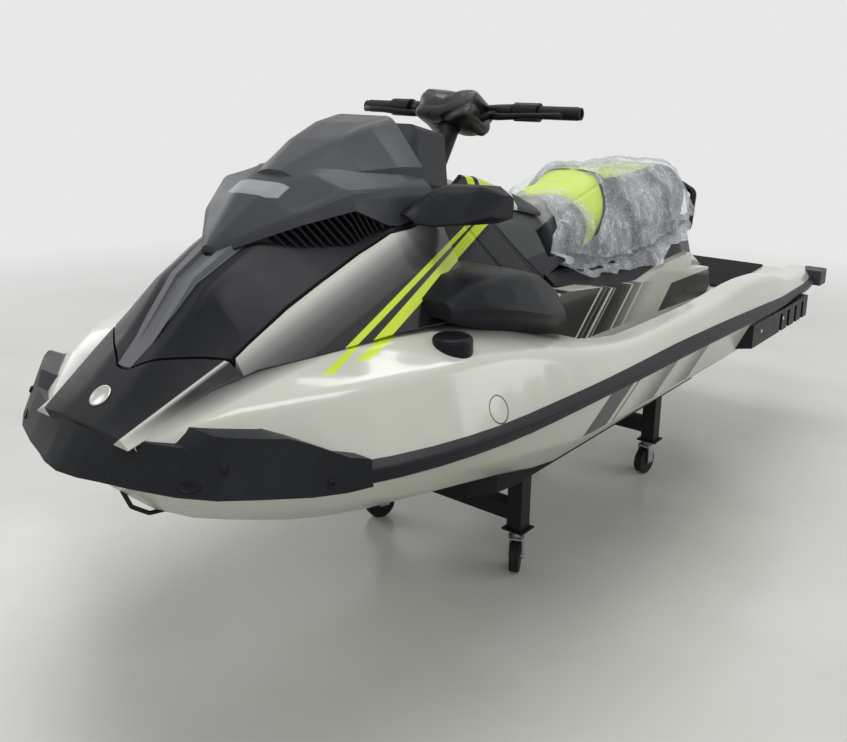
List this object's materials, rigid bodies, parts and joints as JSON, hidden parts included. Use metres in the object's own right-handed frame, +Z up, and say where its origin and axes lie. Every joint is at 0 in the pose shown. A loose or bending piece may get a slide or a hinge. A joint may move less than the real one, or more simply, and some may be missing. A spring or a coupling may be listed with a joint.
{
  "type": "personal watercraft on wheeled cradle",
  "caption": "Three-seat personal watercraft with a long cushioned seat, opening hood, mirrors and jet pump, resting on a low wheeled storage cradle",
  "frame": {"origin": "middle of the bounding box in plan, on the floor under the casters", "axes": "+X towards the bow, +Y to port, +Z up"},
  "size_m": [3.29, 1.2382, 1.4253],
  "materials": {
    "hull_gelcoat": "glossy gelcoat over fibreglass",
    "pale_gloss_plastic": "glossy moulded plastic",
    "charcoal_plastic": "satin moulded plastic",
    "grey_plastic": "matt moulded plastic",
    "black_plastic": "satin black moulded plastic",
    "dark_rubber": "soft black rubber",
    "seat_leather": "stitched marine seat cover",
    "clear_film": "crumpled clear protective film",
    "mirror_glass": "flat mirror",
    "display_glass": "dark display glass",
    "cast_metal": "as cast",
    "pump_alloy": "coated casting",
    "steel": "brushed",
    "bunk_carpet": "short marine carpet",
    "cradle_paint": "zinc-grey paint",
    "caster_rubber": "hard rubber tread"
  },
  "bodies": {
    "craft": {"bow_bumper": "dark_rubber", "bow_eye": "steel", "cradle_bunks": "bunk_carpet", "cradle_crossbeams": "cradle_paint", "cradle_posts": "cradle_paint", "deck": "hull_gelcoat", "deck_mats": "dark_rubber", "display": "display_glass", "engine_block": "cast_metal", "fuel_cap": "black_plastic", "grab_handle": "black_plastic", "hull": "hull_gelcoat", "instrument_housing": "black_plastic", "intake_grate": "pump_alloy", "jet_pump": "pump_alloy", "nose_panel": "charcoal_plastic", "ride_plate": "pump_alloy", "rub_rail": "dark_rubber", "seat_pedestal": "charcoal_plastic", "side_fairings": "pale_gloss_plastic", "side_pods": "black_plastic", "sponsons": "hull_gelcoat", "steering_console": "charcoal_plastic", "stern_bumpers": "grey_plastic", "stern_eyes": "steel", "storage_tub": "black_plastic"},
    "hood": {"hood_panel": "charcoal_plastic", "hood_brow": "grey_plastic", "windscreen": "grey_plastic", "vent_grilles": "black_plastic", "mirrors": "black_plastic", "mirror_glass": "mirror_glass"},
    "steering": {"steering_column": "black_plastic", "handlebar": "steel", "bar_pad": "black_plastic", "grips": "dark_rubber", "bar_controls": "black_plastic"},
    "seat": {"seat_cushion_front": "seat_leather", "seat_cushion_rear": "seat_leather", "seat_film": "clear_film"},
    "glovebox": {"glovebox_lid": "black_plastic"},
    "impeller_shaft": {"impeller": "steel"},
    "steering_nozzle": {"nozzle": "pump_alloy"},
    "bucket": {"reverse_bucket": "pump_alloy"},
    "fork_front_left": {"caster_fork_front_left": "steel"},
    "wheel_front_left": {"caster_wheel_front_left": "caster_rubber"},
    "fork_front_right": {"caster_fork_front_right": "steel"},
    "wheel_front_right": {"caster_wheel_front_right": "caster_rubber"},
    "fork_rear_left": {"caster_fork_rear_left": "steel"},
    "wheel_rear_left": {"caster_wheel_rear_left": "caster_rubber"},
    "fork_rear_right": {"caster_fork_rear_right": "steel"},
    "wheel_rear_right": {"caster_wheel_rear_right": "caster_rubber"}
  },
  "joints": [
    {"name": "hood_hinge", "type": "hinge", "parent": "craft", "child": "hood", "pos_m": [0.72565, 0, 1.222], "axis": [0, -1, 0], "range_deg": [0, 45]},
    {"name": "steering_turn", "type": "hinge", "parent": "craft", "child": "steering", "pos_m": [0.455, 0, 1.167], "axis": [-0.527, 0, 0.8499], "range_deg": [-25, 25]},
    {"name": "nozzle_turn", "type": "hinge", "parent": "craft", "child": "steering_nozzle", "pos_m": [-1.484, 0, 0.367], "axis": [0, 0, 1], "range_deg": [-20, 20]},
    {"name": "bucket_swing", "type": "hinge", "parent": "steering_nozzle", "child": "bucket", "pos_m": [-1.548, 0, 0.367], "axis": [0, -1, 0], "range_deg": [0, 75]},
    {"name": "impeller_spin", "type": "hinge", "parent": "craft", "child": "impeller_shaft", "pos_m": [-1.26, 0, 0.367], "axis": [1, 0, 0], "continuous": true},
    {"name": "seat_tilt", "type": "hinge", "parent": "craft", "child": "seat", "pos_m": [-0.046, 0, 1.049], "axis": [0, 1, 0], "range_deg": [0, 30]},
    {"name": "glovebox_hinge", "type": "hinge", "parent": "craft", "child": "glovebox", "pos_m": [0.2725, 0, 1.1121], "axis": [0, 1, 0], "range_deg": [0, 70]},
    {"name": "swivel_front_left", "type": "hinge", "parent": "craft", "child": "fork_front_left", "pos_m": [0.318, 0.26, 0.115], "axis": [0, 0, 1], "continuous": true},
    {"name": "roll_front_left", "type": "hinge", "parent": "fork_front_left", "child": "wheel_front_left", "pos_m": [0.34519, 0.27268, 0.05], "axis": [0.4226, -0.9063, 0], "continuous": true},
    {"name": "swivel_front_right", "type": "hinge", "parent": "craft", "child": "fork_front_right", "pos_m": [0.318, -0.26, 0.115], "axis": [0, 0, 1], "continuous": true},
    {"name": "roll_front_right", "type": "hinge", "parent": "fork_front_right", "child": "wheel_front_right", "pos_m": [0.34619, -0.27026, 0.05], "axis": [-0.342, -0.9397, 0], "continuous": true},
    {"name": "swivel_rear_left", "type": "hinge", "parent": "craft", "child": "fork_rear_left", "pos_m": [-0.609, 0.26, 0.115], "axis": [0, 0, 1], "continuous": true},
    {"name": "roll_rear_left", "type": "hinge", "parent": "fork_rear_left", "child": "wheel_rear_left", "pos_m": [-0.57911, 0.25739, 0.05], "axis": [-0.0872, -0.9962, 0], "continuous": true},
    {"name": "swivel_rear_right", "type": "hinge", "parent": "craft", "child": "fork_rear_right", "pos_m": [-0.609, -0.26, 0.115], "axis": [0, 0, 1], "continuous": true},
    {"name": "roll_rear_right", "type": "hinge", "parent": "fork_rear_right", "child": "wheel_rear_right", "pos_m": [-0.57946, -0.26521, 0.05], "axis": [-0.1736, -0.9848, 0], "continuous": true}
  ],
  "couplings": [
    {"joint": "nozzle_turn", "follows": "steering_turn", "ratio": 0.78}
  ]
}
